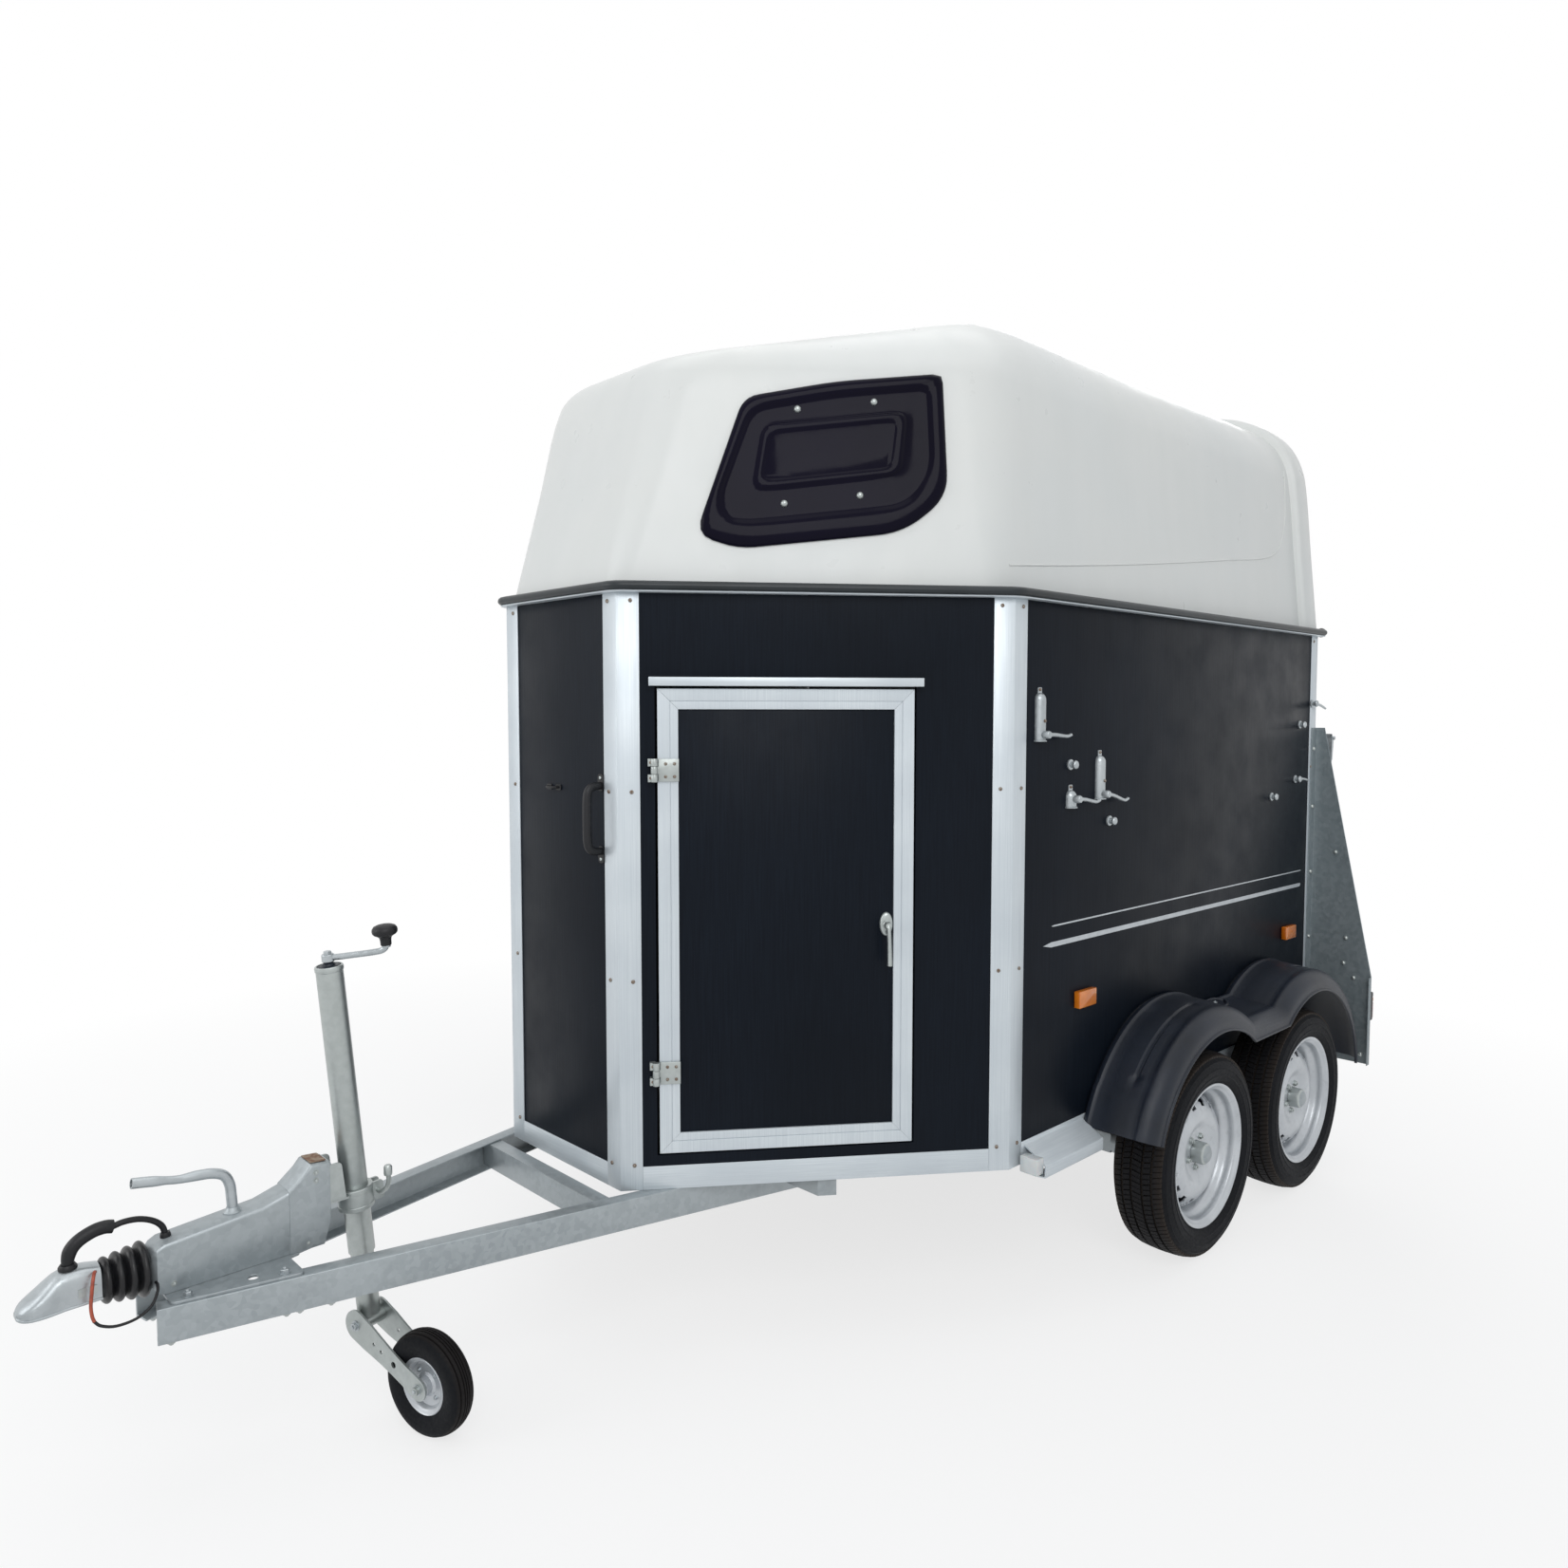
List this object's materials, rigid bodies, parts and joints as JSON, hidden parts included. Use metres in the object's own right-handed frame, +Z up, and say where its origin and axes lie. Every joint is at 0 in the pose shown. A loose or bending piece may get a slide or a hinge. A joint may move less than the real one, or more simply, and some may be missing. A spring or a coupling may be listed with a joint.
{
  "type": "horse trailer",
  "caption": "Enclosed tandem-axle horse trailer with pointed nose, moulded hood, groom's door, full-width rear ramp and a jockey wheel on a braked A-frame drawbar.",
  "frame": {"origin": "on the ground below the middle of the overall length and width", "axes": "+X forwards to the coupling, +Y to the trailer's left, +Z up"},
  "size_m": [4.15, 2.176, 2.8713],
  "materials": {
    "galvanised steel": "hot-dip galvanised, dull with a faint spangle",
    "floor": "film-faced plywood",
    "rubber": "matt rubber",
    "wall panel": "film-faced plywood, blue-black, smooth and half gloss",
    "aluminium": "satin anodised",
    "rail": "black, matt",
    "hood": "glass-fibre moulding, gloss gelcoat",
    "window": "dark violet tinted acrylic, gloss",
    "black plastic": "black grip, half gloss",
    "white lamp": "clear lens over white",
    "amber lamp": "amber lens",
    "red lamp": "red lens",
    "guard": "black moulded plastic, fine grain",
    "tyre": "matt rubber",
    "rim": "silver paint"
  },
  "bodies": {
    "trailer": {"drawbar_left": "galvanised steel", "drawbar_right": "galvanised steel", "chassis_frame": "galvanised steel", "rear_sill": "galvanised steel", "axle_front": "galvanised steel", "axle_rear": "galvanised steel", "floor": "floor", "floor_mat": "rubber", "front_panel": "wall panel", "chamfer_panel_left": "wall panel", "chamfer_panel_right": "wall panel", "side_panel_left": "wall panel", "side_panel_right": "wall panel", "corner_profiles": "aluminium", "sill_trim": "aluminium", "rim_rail": "rail", "hood": "hood", "hood_windows": "window", "rain_strip": "aluminium", "door_hinge_leaves": "galvanised steel", "grab_handle": "black plastic", "release_levers": "galvanised steel", "side_steps": "aluminium", "front_marker_lamps": "white lamp", "side_marker_lamps": "amber lamp", "tail_lamps": "red lamp", "rear_wings": "galvanised steel", "mudguard_left": "guard", "mudguard_right": "guard", "overrun_housing": "galvanised steel", "bellows": "rubber", "coupling_head": "galvanised steel", "coupling_handle": "black plastic", "handbrake_lever": "galvanised steel", "brake_cables": "rubber", "jockey_tube": "galvanised steel", "jockey_crank": "galvanised steel", "partition_panel": "wall panel", "partition_posts": "galvanised steel", "stall_bars": "galvanised steel"},
    "door": {"door_leaf": "wall panel", "door_frame": "aluminium", "door_hinges": "galvanised steel", "door_lock": "aluminium"},
    "ramp": {"ramp_panel": "wall panel", "ramp_frame": "aluminium", "ramp_slats": "rubber", "ramp_catches": "galvanised steel"},
    "jockey_swivel": {"jockey_fork": "galvanised steel"},
    "jockey_wheel": {"jockey_tyre": "tyre", "jockey_rim": "rim"},
    "wheel_front_left": {"tyre_front_left": "tyre", "rim_front_left": "rim"},
    "wheel_front_right": {"tyre_front_right": "tyre", "rim_front_right": "rim"},
    "wheel_rear_left": {"tyre_rear_left": "tyre", "rim_rear_left": "rim"},
    "wheel_rear_right": {"tyre_rear_right": "tyre", "rim_rear_right": "rim"}
  },
  "joints": [
    {"name": "groom_door", "type": "hinge", "parent": "trailer", "child": "door", "pos_m": [0.77241, 0.32587, 1.1], "axis": [0, 0, -1], "range_deg": [0, 150]},
    {"name": "rear_ramp", "type": "hinge", "parent": "trailer", "child": "ramp", "pos_m": [-1.994, 0, 0.425], "axis": [0, -1, 0], "range_deg": [0, 105]},
    {"name": "jockey_turn", "type": "hinge", "parent": "trailer", "child": "jockey_swivel", "pos_m": [1.403, 0, 0.48], "axis": [0.0889, 0, 0.996], "continuous": true},
    {"name": "jockey_roll", "type": "hinge", "parent": "jockey_swivel", "child": "jockey_wheel", "pos_m": [1.32482, 0.19514, 0.12], "axis": [-0.9613, -0.2756, 0], "continuous": true},
    {"name": "wheel_front_left_roll", "type": "hinge", "parent": "trailer", "child": "wheel_front_left", "pos_m": [-0.782, 0.962, 0.31], "axis": [0, 1, 0], "continuous": true},
    {"name": "wheel_front_right_roll", "type": "hinge", "parent": "trailer", "child": "wheel_front_right", "pos_m": [-0.782, -0.962, 0.31], "axis": [0, 1, 0], "continuous": true},
    {"name": "wheel_rear_left_roll", "type": "hinge", "parent": "trailer", "child": "wheel_rear_left", "pos_m": [-1.502, 0.962, 0.31], "axis": [0, 1, 0], "continuous": true},
    {"name": "wheel_rear_right_roll", "type": "hinge", "parent": "trailer", "child": "wheel_rear_right", "pos_m": [-1.502, -0.962, 0.31], "axis": [0, 1, 0], "continuous": true}
  ]
}
